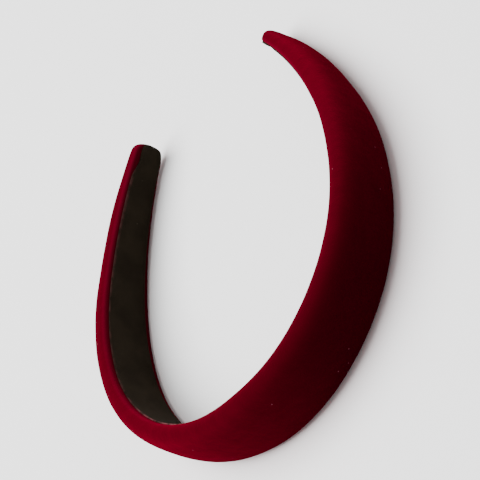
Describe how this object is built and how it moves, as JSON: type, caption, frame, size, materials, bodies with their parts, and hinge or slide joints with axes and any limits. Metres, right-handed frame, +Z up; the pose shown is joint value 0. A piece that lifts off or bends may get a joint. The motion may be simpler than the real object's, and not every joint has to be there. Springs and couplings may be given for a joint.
{
  "type": "padded headband",
  "caption": "Padded velvet hair band, widest at the crown and tapering to two rounded tips, with a ribbon lining inside, lying on its side",
  "frame": {"origin": "middle of the resting band's box, on the surface that it lies on", "axes": "+X across the band from tip to tip, +Y from the crown to the tips, +Z up, along the band's width"},
  "size_m": [0.16, 0.1688, 0.0355],
  "materials": {
    "velvet": "dark crimson velvet with a short dense pile, dark where it is seen face on and glowing red where it turns away",
    "ribbon": "matt black woven ribbon"
  },
  "bodies": {
    "root": {"velvet_cover": "velvet", "lining": "ribbon"}
  },
  "joints": []
}
